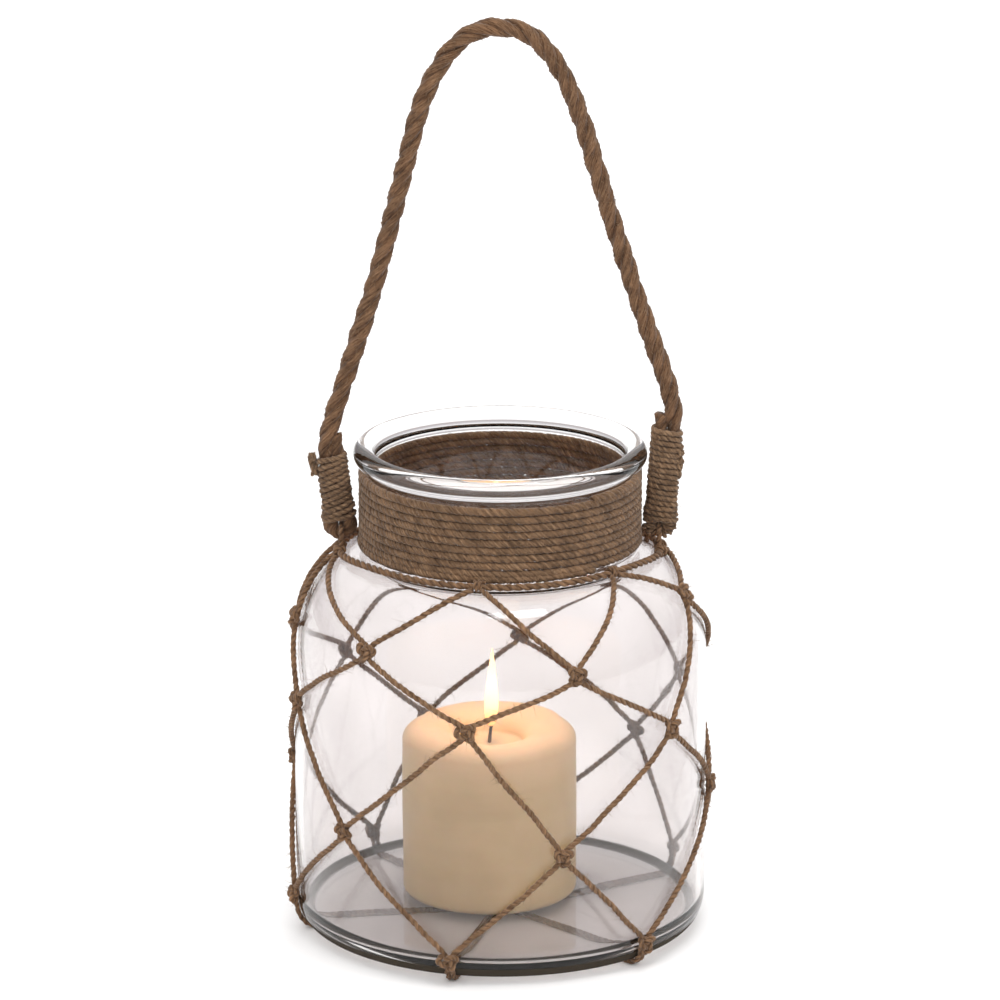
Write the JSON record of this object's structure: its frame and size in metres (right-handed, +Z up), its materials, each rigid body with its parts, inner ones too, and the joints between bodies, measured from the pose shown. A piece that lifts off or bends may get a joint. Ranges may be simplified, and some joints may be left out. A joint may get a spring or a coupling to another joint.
{
  "type": "hanging lantern",
  "caption": "Wide-mouth glass jar lantern in a knotted jute net, with a cord-wound neck, a swinging rope handle and a pillar candle that lifts out through the mouth.",
  "frame": {"origin": "middle of the underside, on the surface that the lantern stands on", "axes": "+Z up the jar's axis, +X through the handle's right-hand fixing, -Y is the front"},
  "size_m": [0.1854, 0.1856, 0.3974],
  "materials": {
    "glass": "clear, slightly wavy pressed glass with a dark foot",
    "wrap_jute": "tight dull jute cord",
    "net_jute": "twisted jute cord, slightly hairy",
    "rope_jute": "three-strand laid jute rope, hairy",
    "twine_jute": "thin jute twine",
    "wax": "smooth translucent cream wax, melted on top",
    "wick": "charred braided cotton"
  },
  "bodies": {
    "jar": {"base_cords": "net_jute", "base_knot": "net_jute", "collar_cord": "net_jute", "collar_hitches": "net_jute", "collar_loop_left": "net_jute", "collar_loop_right": "net_jute", "glass_jar": "glass", "neck_wrap": "wrap_jute", "net_cord_01": "net_jute", "net_cord_02": "net_jute", "net_cord_03": "net_jute", "net_cord_04": "net_jute", "net_cord_05": "net_jute", "net_cord_06": "net_jute", "net_cord_07": "net_jute", "net_cord_08": "net_jute", "net_cord_09": "net_jute", "net_cord_10": "net_jute", "net_cord_11": "net_jute", "net_cord_12": "net_jute", "net_knots_foot": "net_jute", "net_knots_lower": "net_jute", "net_knots_middle": "net_jute", "net_knots_upper": "net_jute"},
    "handle": {"handle_rope": "rope_jute", "lashing_knot_left": "twine_jute", "lashing_knot_right": "twine_jute", "lashing_left": "twine_jute", "lashing_right": "twine_jute"},
    "candle": {"candle_wax": "wax", "candle_wick": "wick"}
  },
  "joints": [
    {"name": "handle_swing", "type": "hinge", "parent": "jar", "child": "handle", "pos_m": [0, 0, 0.17335], "axis": [1, 0, 0], "range_deg": [-85, 85]},
    {"name": "candle_lift", "type": "slide", "parent": "jar", "child": "candle", "axis": [0, 0, 1], "range_m": [0, 0.21]}
  ]
}
